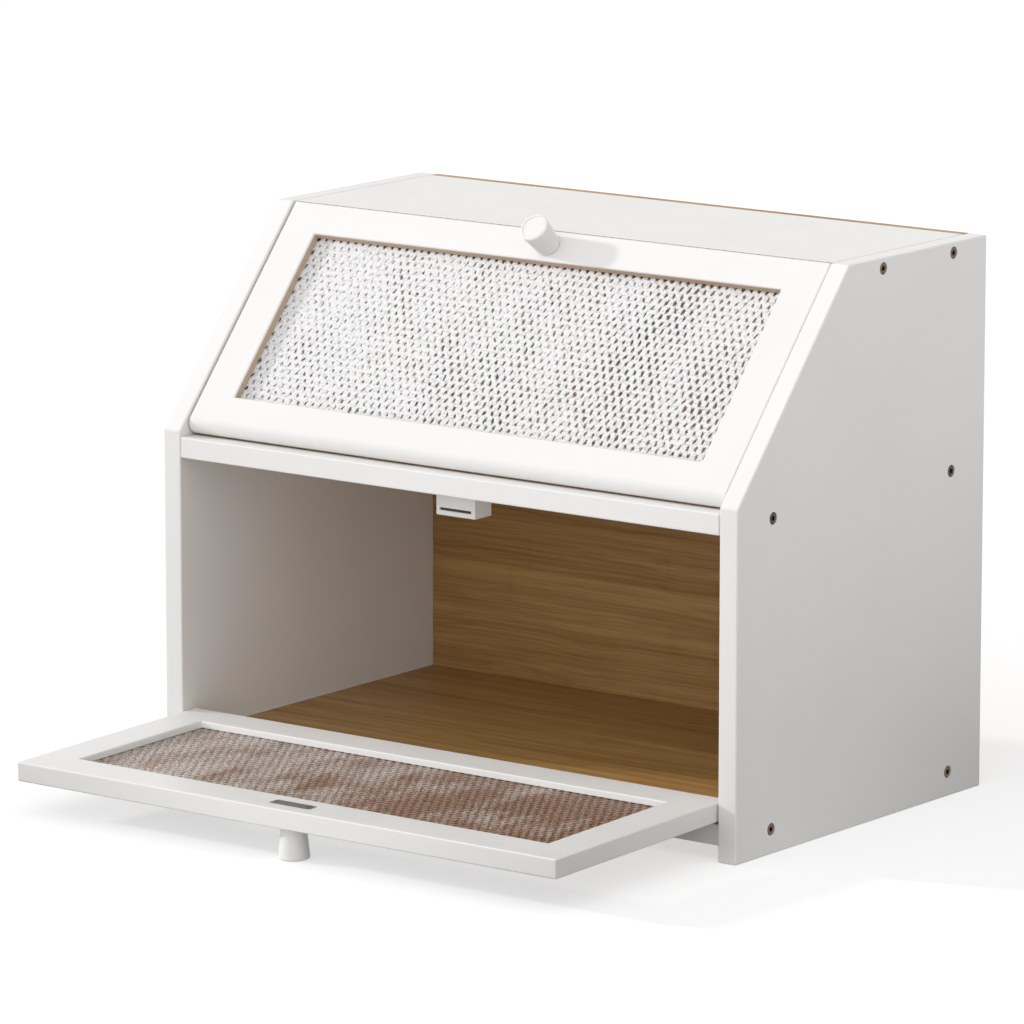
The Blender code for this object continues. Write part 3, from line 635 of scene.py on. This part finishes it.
boards = ("bottom_panel", "middle_shelf", "top_panel")


def startBoard(node, name, edgeRound):
    low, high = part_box(node)
    board = addBox(name, low, high)
    roundEdges(board, edgeRound)
    return board, high


def middleOf(node):
    low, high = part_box(node)
    return (low.z + high.z) / 2


def sideScrewSpots():
    # Six (y, z) places in each side, two into the end of each board
    panelLow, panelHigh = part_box("left_side_panel")
    inset = cabinetLook["sideScrewInset"]
    spots = []
    for board in boards:
        front = panelLow.y + (cabinetLook["topScrewInset"] if board == "top_panel" else 0)
        for y in (front + inset, panelHigh.y - inset):
            spots.append((y, middleOf(board)))
    return spots


def backScrewSpots():
    return [(sign * cabinetLook["backScrewAcross"], middleOf(board))
            for board in boards for sign in (-1, 1)]


def outOfSide(sign, x, y, z):
    # Z of the piece points out of a side
    return Matrix.Translation((x, y, z)) @ Matrix.Rotation(sign * radians(90), 4, "Y")


def outOfBack(x, y, z):
    return Matrix.Translation((x, y, z)) @ Matrix.Rotation(radians(-90), 4, "X")


def outDown(x, y, z):
    return Matrix.Translation((x, y, z)) @ Matrix.Rotation(radians(180), 4, "X")


def makeSidePanel(side, sign):
    look = cabinetLook
    name = f"{side}_side_panel"
    low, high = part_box(name)
    panel = addBox(f"{side}SidePanel", low, high)
    bisectAt(panel, (0, slopeLook["front"], slopeLook["foot"]), slopeOut, remove=True)
    roundEdges(panel, look["edgeRound"])
    inner, outer = (low.x, high.x) if sign > 0 else (high.x, low.x)
    holes = []
    for y, z in sideScrewSpots():
        spot = outOfSide(sign, outer, y, z)
        holes.append(addRod("hole", look["headBore"], -look["headBoreDepth"], past, 48, spot))
        holes.append(addRod("hole", look["shankBore"], -look["shankBoreDepth"], 0.0, 24, spot))
    for door in doorFrames.values():
        holes.append(addRod("hole", look["pinBore"], -look["pinBoreDepth"], past, 24,
                            outOfSide(-sign, inner, door["pivot"].y, door["pivot"].z)))
    cutAway(panel, holes)
    smooth(panel)
    hand(panel, "cabinet", [name], [boardPaint])


def makeShelf():
    board, high = startBoard("middle_shelf", "middleShelf", cabinetLook["edgeRound"])
    smooth(board)
    hand(board, "cabinet", ["middle_shelf"], [boardPaint])


def makeBottomPanel():
    # Bamboo above and below, its edges painted
    board, high = startBoard("bottom_panel", "bottomPanel", cabinetLook["edgeRound"])
    board.data.materials.append(bamboo)
    board.data.materials.append(boardPaint)
    for face in board.data.polygons:
        face.material_index = 0 if abs(face.normal.z) > 0.98 else 1
    smooth(board)
    hand(board, "cabinet", ["bottom_panel"], [])


def makeTopPanel():
    # Its front edge is bevelled along the upper door's end, down to the heel
    heelY, heelZ = cabinetLook["topHeelY"], cabinetLook["topHeelZ"]
    low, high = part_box("top_panel")
    board = addBox("topPanel", (low.x, heelY, low.z), high)
    bisectAt(board, (0, 0, heelZ), (0, 0, 1))
    pickEdges(board, lambda middle, along: abs(along.x) > 0.9 and middle.y < heelY + 0.001
              and middle.z > heelZ + 0.001)
    bpy.ops.transform.translate(value=(0, cabinetLook["topCrestY"] - heelY, 0))
    roundEdges(board, cabinetLook["edgeRound"])
    smooth(board)
    hand(board, "cabinet", ["top_panel"], [boardPaint])


def makeBackPanel():
    look = cabinetLook
    board, high = startBoard("back_panel", "backPanel", look["backRound"])
    cutAway(board, [addRod("hole", look["backBore"], -look["backBoreDepth"], past, 32,
                           outOfBack(x, high.y, z)) for x, z in backScrewSpots()])
    smooth(board)
    hand(board, "cabinet", ["back_panel"], [bamboo])


for side, sign in (("left", -1), ("right", 1)):
    makeSidePanel(side, sign)
makeBottomPanel()
makeShelf()
makeTopPanel()
makeBackPanel()
print("cabinet boards made")


# Each head and shank is a radius and a length, each cross a length, a width and a depth
socketScrew = {"head": (0.0032, 0.003), "shank": (0.002, 0.034), "cone": False,
               "edgeRound": 0.0005, "socket": (0.0016, 0.002)}
crossScrews = {
    "back": {"head": (0.003, 0.0016), "shank": (0.0015, 0.02), "cone": True,
             "cross": (0.0034, 0.0008, 0.0009)},
    "catch": {"head": (0.0025, 0.0016), "shank": (0.0013, 0.02), "cone": False,
              "cross": (0.003, 0.0007, 0.0009)},
    "strike": {"head": (0.0017, 0.0008), "shank": (0.0009, 0.007), "cone": True,
               "cross": (0.002, 0.0005, 0.0005)},
}


def makeBlank(name, look, sides, edgeRound, segments):
    # A screw without its recess, its head's top at 0 and its shank below
    (radius, height), (shankRadius, length) = look["head"], look["shank"]
    screw = addRod(name, radius, -height, 0, sides)
    pickFaces(screw, lambda middle, normal: normal.z < -0.9)
    if look["cone"]:
        shrink = shankRadius / radius
        bpy.ops.transform.resize(value=(shrink, shrink, 1), center_override=(0, 0, -height))
    else:
        bpy.ops.mesh.inset(thickness=radius - shankRadius)
    bpy.ops.mesh.extrude_region_move(TRANSFORM_OT_translate={"value": (0, 0, height - length)})
    bevelWhere(screw, lambda middle, along: middle.z > -hair and abs(along.z) < 0.1,
               edgeRound, segments)
    return screw


def makeSocketScrew():
    radius, depth = socketScrew["socket"]
    screw = makeBlank("socketScrew", socketScrew, 48, socketScrew["edgeRound"], 3)
    cutAway(screw, [addRod("socket", radius, -depth, past / 2, 6)])
    screw.data.materials.append(bronze)
    screw.data.materials.append(socketPaintedShade)
    # The socket's floor and walls take a painted black shade, for the dark in the recess
    for face in screw.data.polygons:  # the socket's floor and walls are black
        within = Vector(face.center).xy.length < radius
        below = -depth - hair < face.center.z < -2 * hair
        face.material_index = 1 if within and below else 0
    smooth(screw, 35)
    return screw


def makeSideScrews():
    first = makeSocketScrew()
    for side, sign in (("left", -1), ("right", 1)):
        panelLow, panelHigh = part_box(f"{side}_side_panel")
        face = panelHigh.x - hair if sign > 0 else panelLow.x + hair
        for number, (y, z) in enumerate(sideScrewSpots(), start=1):
            screw = copyOf(first, f"{side}SideScrew{number}")
            if number in (3, 4):  # the shelf's two screws are blackened
                screw.data.materials[0] = blackened
            turn = Matrix.Rotation(radians(11 * number + 7 * sign), 4, "Z")
            putAt(screw, outOfSide(sign, face, y, z) @ turn)
            hand(screw, "cabinet", [f"{side}_side_screw_{number}"], [])
    discard(first)


def makeCrossScrew(kind):
    look = crossScrews[kind]
    screw = makeBlank(kind + "Screw", look, 32, look["head"][0] * 0.1, 2)
    length, width, deep = look["cross"]
    half, wide = length / 2, width / 2
    cutAway(screw, [addBox("arm", (-half, -wide, -deep), (half, wide, past / 2)),
                    addBox("arm", (-wide, -half, -deep), (wide, half, past / 2))])
    smooth(screw, 35)
    return screw


def makeBackScrews():
    first = makeCrossScrew("back")
    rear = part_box("back_panel")[1].y
    for number, (x, z) in enumerate(backScrewSpots(), start=1):
        screw = copyOf(first, f"backScrew{number}")
        turn = Matrix.Rotation(radians(23 * number), 4, "Z")
        putAt(screw, outOfBack(x, rear - hair, z) @ turn)
        hand(screw, "cabinet", [f"back_screw_{number}"], [bronze])
    discard(first)


makeSideScrews()
makeBackScrews()
print("cabinet screws made")


catchLook = {"edgeRound": 0.0007, "slotHalf": 0.011, "slotHeight": 0.0016, "slotDepth": 0.0075,
             "gap": 0.0056, "spacing": 0.017, "rearInset": 0.0046, "bore": 0.0028,
             "boreDepth": 0.0019, "lowerSlot": 0.1417}


def makeCatch(prefix, slotAlong, closedTurn):
    look = catchLook
    node = f"{prefix}_catch_housing"
    low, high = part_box(node)
    closed = Matrix.Translation(doorFrames[prefix]["pivot"]) @ Matrix.Rotation(closedTurn, 4, "X")
    housing = addBox(f"{prefix}CatchHousing", low, high)
    facing = closed.to_3x3() @ Vector((0, -1, 0))
    if abs(facing.z) > 0.01:  # the lower door closes upright, so that box is right as it is
        bisectAt(housing, closed @ Vector((0, look["gap"], 0)), facing, remove=True)
    roundEdges(housing, look["edgeRound"])
    half = look["slotHeight"] / 2
    slot = addBox("slot", (-look["slotHalf"], look["gap"] - past, slotAlong - half),
                  (look["slotHalf"], look["gap"] + look["slotDepth"], slotAlong + half))
    putAt(slot, closed)
    screwY = high.y - look["rearInset"]
    screwXs = (-look["spacing"] / 2, look["spacing"] / 2)
    cutAway(housing, [slot] + [addRod("hole", look["bore"], -look["boreDepth"], past, 32,
                                      outDown(x, screwY, low.z)) for x in screwXs])
    smooth(housing)
    hand(housing, "cabinet", [node], [catchPlastic])
    first = makeCrossScrew("catch")
    for number, x in enumerate(screwXs, start=1):
        screw = copyOf(first, f"{prefix}CatchScrew{number}")
        turn = Matrix.Rotation(radians(31 * number), 4, "Z")
        putAt(screw, outDown(x, screwY, low.z + hair) @ turn)
        hand(screw, "cabinet", [f"{prefix}_catch_screw_{number}"], [steel])
    discard(first)


makeCatch("lower", catchLook["lowerSlot"], 0.0)
makeCatch("upper", doorFrames["upper"]["knob"], doorFrames["upper"]["turn"])
print("catches made")


doorLook = {"halfWidth": 0.187, "openingHalf": 0.163, "outer": -0.006, "inner": 0.005,
            "outerRound": 0.006, "innerRound": 0.003, "edgeRound": 0.0009,
            "grooveFront": -0.0013, "grooveRear": 0.0013, "grooveDepth": 0.005,
            "pinBore": 0.0028, "pinBoreDepth": 0.0163, "knobBore": 0.0023, "knobBoreReach": 0.02,
            "headBore": 0.0038, "headBoreDepth": 0.0035, "revealReach": 0.0003, "underHigh": 0.004}
strikeLook = {"length": 0.028, "width": 0.008, "thick": 0.001, "corner": 0.0015,
              "edgeRound": 0.0002, "recessGrow": 0.0003, "screwAcross": 0.0105,
              "screwBore": 0.0012, "screwBoreDepth": 0.0076, "hole": 0.0019, "holeDepth": 0.004}


def makeStrikeShape(grow, proud, knobHeight):
    # The strike plate's rounded outline, grown for its recess or at size for the plate
    look = strikeLook
    halfX, halfZ = look["length"] / 2 + grow, look["width"] / 2 + grow
    inner = doorLook["inner"]
    plate = addBox("strike", (-halfX, inner - look["thick"] - grow, knobHeight - halfZ),
                   (halfX, inner + proud, knobHeight + halfZ))
    bevelWhere(plate, lambda middle, along: abs(along.y) > 0.9, look["corner"] + grow, 6)
    return plate


def boresAtStrike(radius, depth, sides, knobHeight):
    return [addRod("bore", radius, -depth, past, sides,
                   outOfBack(sign * strikeLook["screwAcross"], doorLook["inner"], knobHeight))
            for sign in (-1, 1)]


def paintDoor(board, door):
    # The reveal outside the window and the round beside the hinge are painted brown, as the warm
    # shade that falls in the recess and in the gap
    look = doorLook
    reach = look["revealReach"]
    board.data.materials.append(doorPaint)
    board.data.materials.append(paintedShadeBrown)
    for face in board.data.polygons:
        middle = face.center
        across = abs(face.normal.y) < 0.5
        near = (abs(middle.x) < look["openingHalf"] + reach
                and door["low"] - reach < middle.z < door["high"] + reach)
        outside = look["outer"] + look["edgeRound"] < middle.y < look["grooveFront"] + hair
        # faces of the round beside the hinge that face down and inwards, painted brown as the shade
        # of the gap
        gapShade = (face.normal.z < -0.2 and face.normal.y > 0.1
                 and middle.z < look["outer"] + look["underHigh"])
        face.material_index = 1 if (across and near and outside) or gapShade else 0


def makeDoorFrame(prefix, place):
    door, look = doorFrames[prefix], doorLook
    board = addBox(f"{prefix}DoorFrame",
                   (-look["halfWidth"], look["outer"], look["outer"]),
                   (look["halfWidth"], look["inner"], door["top"]))
    for x in (-look["openingHalf"], look["openingHalf"]):
        bisectAt(board, (x, 0, 0), (1, 0, 0))
    for z in (door["low"], door["high"]):
        bisectAt(board, (0, 0, z), (0, 0, 1))
    pickFaces(board, lambda middle, normal: abs(normal.y) > 0.9
              and abs(middle.x) < look["openingHalf"] and door["low"] < middle.z < door["high"])
    bpy.ops.mesh.bridge_edge_loops()
    bevelWhere(board, lambda middle, along: abs(along.x) > 0.9 and middle.y < 0
               and middle.z < look["outer"] + hair, look["outerRound"] - hair / 10, 10)
    bevelWhere(board, lambda middle, along: abs(along.x) > 0.9 and middle.y > look["inner"] - hair
               and middle.z < look["outer"] + hair, look["innerRound"], 6)
    roundEdges(board, look["edgeRound"])
    half, deep = look["openingHalf"] + look["grooveDepth"], look["grooveDepth"]
    cutters = [addBox("groove", (-half, look["grooveFront"], door["low"] - deep),
                      (half, look["grooveRear"], door["high"] + deep))]
    for sign in (-1, 1):
        cutters.append(addRod("bore", look["pinBore"], -look["pinBoreDepth"], past, 24,
                              outOfSide(sign, sign * look["halfWidth"], 0, 0)))
    cutters.append(addRod("bore", look["knobBore"], -look["knobBoreReach"], look["knobBoreReach"],
                          24, outOfBack(0, 0, door["knob"])))
    cutters.append(addRod("bore", look["headBore"], -look["headBoreDepth"], past, 32,
                          outOfBack(0, look["inner"], door["knob"])))
    cutters.append(makeStrikeShape(strikeLook["recessGrow"], past, door["knob"]))
    cutters += boresAtStrike(strikeLook["screwBore"], strikeLook["screwBoreDepth"], 16,
                             door["knob"])
    cutAway(board, cutters)
    smooth(board)
    paintDoor(board, door)
    putAt(board, place)
    hand(board, f"{prefix}_door", [f"{prefix}_door_{part}" for part in (
        "bottom_rail", "top_rail", "left_stile", "right_stile")], [])


def makeStrike(prefix, place):
    look, knob = strikeLook, doorFrames[prefix]["knob"]
    plate = makeStrikeShape(0, 0, knob)
    roundEdges(plate, look["edgeRound"], 2, 50)
    cutAway(plate, boresAtStrike(look["hole"], look["holeDepth"], 32, knob))
    smooth(plate)
    plate.name = plate.data.name = f"{prefix}StrikePlate"
    putAt(plate, place)
    hand(plate, f"{prefix}_door", [f"{prefix}_door_strike_plate"], [steel])
    first = makeCrossScrew("strike")
    for number, sign in enumerate((-1, 1), start=1):
        screw = copyOf(first, f"{prefix}StrikeScrew{number}")
        spot = outOfBack(sign * look["screwAcross"], doorLook["inner"] - hair, knob)
        putAt(screw, place @ spot @ Matrix.Rotation(radians(17 + 40 * number), 4, "Z"))
        hand(screw, f"{prefix}_door", [f"{prefix}_door_strike_screw_{number}"], [steel])
    discard(first)


knobLook = {"baseRadius": 0.007, "endRadius": 0.0088, "length": 0.0188, "seat": 0.0003,
            "edgeRound": 0.0012, "rimInset": 0.0008, "rimSlope": 0.0009, "dish": 0.00018,
            "baseRound": 0.0003, "bore": 0.0023, "boreDepth": 0.013}


def makeKnob(prefix, place):
    look = knobLook
    end = look["length"] - hair
    knob = addRod(f"{prefix}Knob", look["baseRadius"], look["seat"],
                  look["length"], 96)
    pickFaces(knob, lambda middle, normal: normal.z > 0.9)
    grow = look["endRadius"] / look["baseRadius"]
    bpy.ops.transform.resize(value=(grow, grow, 1), center_override=(0, 0, look["length"]))
    bevelWhere(knob, lambda middle, along: abs(along.z) < 0.1 and middle.z > end,
               look["edgeRound"], 6)
    pickFaces(knob, lambda middle, normal: normal.z > 0.99 and middle.z > end)
    bpy.ops.mesh.inset(thickness=look["rimInset"])
    bpy.ops.mesh.inset(thickness=look["rimSlope"])
    bpy.ops.transform.translate(value=(0, 0, -look["dish"]))
    bevelWhere(knob, lambda middle, along: abs(along.z) < 0.1 and middle.z < look["seat"] + hair,
               look["baseRound"], 2)
    cutAway(knob, [addRod("bore", look["bore"], -past / 2, look["boreDepth"], 24)])
    smooth(knob, 50)
    spot = Matrix.Translation((0, doorLook["outer"], doorFrames[prefix]["knob"]))
    putAt(knob, place @ spot @ Matrix.Rotation(radians(90), 4, "X"))
    hand(knob, f"{prefix}_door", [f"{prefix}_door_knob"], [doorPaint])


windowLook = {"half": 0.1674, "engagement": 0.0044, "thick": 0.002, "cellWidth": 0.0053,
              "cellHeight": 0.0091, "crown": 0.0005, "rim": 0.0012, "crownReach": 0.001,
              "rimStart": 0.0015, "seeds": {"lower": 0.0, "upper": 40.0}}


def makeWindow(prefix, place):
    # Clear sheet pressed with staggered crowns on both faces, and a flat rim in its groove
    look, door = windowLook, doorFrames[prefix]
    low, high = door["low"] - look["engagement"], door["high"] + look["engagement"]
    width, height = 2 * look["half"], high - low
    columns = 2 * round(width / look["cellWidth"])
    rows = 2 * round(height / look["cellHeight"])
    stepX, stepZ = width / columns, height / rows

    def beyond(spot, reach):
        # Outside the frame's opening grown by reach on every side
        return (abs(spot.x) > doorLook["openingHalf"] + reach
                or not door["low"] - reach < spot.z < door["high"] + reach)

    def crowned(spot):
        column, row = round((spot.x + look["half"]) / stepX), round((spot.z - low) / stepZ)
        return (column + row) % 2 == 0 and not beyond(spot, look["crownReach"])

    foot = look["thick"] / 2 - look["crown"]
    faces = []
    for sign in (-1, 1):
        freshStart()
        bpy.ops.mesh.primitive_grid_add(x_subdivisions=columns, y_subdivisions=rows, size=1,
                                        rotation=(radians(90), 0, 0),
                                        location=(0, sign * foot, (low + high) / 2))
        sheet = nameIt("sheet")
        sheet.scale = (width, height, 1)
        settle(sheet)
        moveVerts(sheet, crowned, (0, sign * look["crown"], 0))
        moveVerts(sheet, lambda spot: beyond(spot, look["rimStart"]),
                  (0, sign * (look["rim"] - foot), 0))
        makeActive(sheet)
        rounding = sheet.modifiers.new("round", "SUBSURF")
        rounding.levels = rounding.render_levels = 1
        bpy.ops.object.modifier_apply(modifier=rounding.name)
        if sign > 0:
            openMesh(sheet, "FACE")
            bpy.ops.mesh.select_all(action="SELECT")
            bpy.ops.mesh.flip_normals()
        freshStart()
        faces.append(sheet)
    window = joinAll(faces, f"{prefix}Window")
    openMesh(window, "EDGE")
    bpy.ops.mesh.select_non_manifold()
    bpy.ops.mesh.bridge_edge_loops()
    bpy.ops.mesh.select_all(action="SELECT")
    bpy.ops.mesh.normals_make_consistent(inside=False)
    freshStart()
    window.data.uv_layers[0].name = "cells"
    smooth(window, 60, weighted=False)
    putAt(window, place)
    material = acrylicMaterial(f"{prefix}Acrylic", acrylicLook, columns, rows, width, height,
                               look["engagement"], look["seeds"][prefix])
    hand(window, f"{prefix}_door", [f"{prefix}_door_window"], [material])


for prefix, door in doorFrames.items():
    place = Matrix.Translation(door["pivot"]) @ Matrix.Rotation(door["turn"], 4, "X")
    makeDoorFrame(prefix, place)
    makeStrike(prefix, place)
    makeKnob(prefix, place)
    makeWindow(prefix, place)
    print(prefix, "door made")


def refinish(node, material):
    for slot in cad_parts[node].material_slots:
        slot.material = material


for prefix in doorFrames:
    for part in ("left_pin", "right_pin", "knob_screw"):
        refinish(f"{prefix}_door_{part}", steel)
    refinish(f"{prefix}_catch_magnet", ferrite)
print("kept pieces finished")


studio = {
    "keyTravel": (0.905, 0.275, -0.32), "keyStrength": 1.8, "keyAngle": 4.0,
    "keyColour": (1, 0.985, 0.965),
    "skyLow": 0.64, "skyHigh": 0.77, "skyTop": 0.8, "skyLeast": 0.36,
    "lobeTowards": (0.249, -0.9685, 0.0), "lobe": 0.563,
    "floorSize": 60, "floorWhite": (0.46, 0.46, 0.46, 1), "floorGlow": 0.6,
    "bounce": (0.88, 0.865, 0.85, 1), "dimBounce": (0.05, 0.034, 0.026, 1),
    "dimCentre": (0.32, 0.27, 0.0), "dimReach": (0.12, 0.4),
}


def makeKey():
    freshStart()
    bpy.ops.object.light_add(type="SUN", location=(0, 0, 2))
    sun = bpy.context.object
    sun.name = "key"
    sun.rotation_euler = Vector(studio["keyTravel"]).to_track_quat("-Z", "Y").to_euler()
    sun.data.energy = studio["keyStrength"]
    sun.data.angle = radians(studio["keyAngle"])
    sun.data.color = studio["keyColour"]
    sun.visible_glossy = False


def cameraLikeRays(wires):
    # 1 for rays that the camera, a gloss or clear stuff sends straight on
    rays = wires.node("ShaderNodeLightPath").outputs
    total = wires.plus(rays["Is Camera Ray"], rays["Is Glossy Ray"])
    return wires.plus(total, rays["Is Transmission Ray"], clamp=True)


def makeWorld():
    # White to look at, but it lights the box a little more from the front and above
    world = bpy.data.worlds.new("studioWorld")
    bpy.context.scene.world = world
    world.use_nodes = True
    wires = Wires(world.node_tree)
    background = world.node_tree.nodes["Background"]
    direction = wires.node("ShaderNodeTexCoord").outputs["Generated"]
    upward = wires.math("ABSOLUTE", wires.axes(direction)[2])
    strength = wires.spread(upward, 0.0, studio["skyTop"], studio["skyLow"], studio["skyHigh"])
    towards = wires.vector("DOT_PRODUCT", direction, studio["lobeTowards"])
    strength = wires.plus(strength, wires.times(towards, studio["lobe"]))
    strength = wires.math("MAXIMUM", strength, studio["skyLeast"])
    chosen = wires.node("ShaderNodeMix", data_type="FLOAT")
    wires.feed(chosen.inputs[0], cameraLikeRays(wires))
    wires.feedAll(chosen, (strength, 1.0), 2)
    wires.feedAll(background, ((1, 1, 1, 1), chosen.outputs[0]))


def makeFloor():
    # White to look at, but it throws less light back beside the box, the same at both sides
    freshStart()
    bpy.ops.mesh.primitive_plane_add(size=studio["floorSize"], location=(0, 0, 0))
    floor = nameIt("floor")
    settle(floor)
    material, wires, shader = newMaterial("floorPaper")
    material.node_tree.nodes.remove(shader)
    shown = wires.node("ShaderNodeBsdfDiffuse")
    shown.inputs[0].default_value = studio["floorWhite"]
    glow = wires.node("ShaderNodeEmission")
    wires.feedAll(glow, ((1, 1, 1, 1), studio["floorGlow"]))
    seen = wires.node("ShaderNodeAddShader")
    wires.feedAll(seen, (shown.outputs[0], glow.outputs[0]))
    mirrored = wires.vector("ABSOLUTE", objectPlace(wires))
    away = wires.vector("DISTANCE", mirrored, studio["dimCentre"])
    bounce = wires.node("ShaderNodeBsdfDiffuse")
    wires.feed(bounce.inputs[0], wires.blend(wires.spread(away, *studio["dimReach"], 0.0, 1.0),
                                             studio["dimBounce"], studio["bounce"]))
    wires.feed(material.node_tree.nodes["Material Output"].inputs["Surface"],
               wires.mixed(cameraLikeRays(wires), bounce.outputs[0], seen.outputs[0]))
    floor.data.materials.append(material)


cameraLook = {"place": (2.3553, -3.0824, 0.9224), "yaw": 37.232, "pitch": 11.066,
              "lens": 249.45, "sensor": 36}


def makeCamera():
    freshStart()
    bpy.ops.object.camera_add(
        location=cameraLook["place"],
        rotation=(radians(90 - cameraLook["pitch"]), 0, radians(cameraLook["yaw"])))
    camera = bpy.context.object
    camera.name = "camera"
    camera.data.lens = cameraLook["lens"]
    camera.data.sensor_width = cameraLook["sensor"]
    bpy.context.scene.camera = camera


makeKey()
makeWorld()
makeFloor()
makeCamera()
bpy.context.scene.view_settings.view_transform = "Standard"
freshStart()
print("studio made")

bpy.context.view_layer.update()
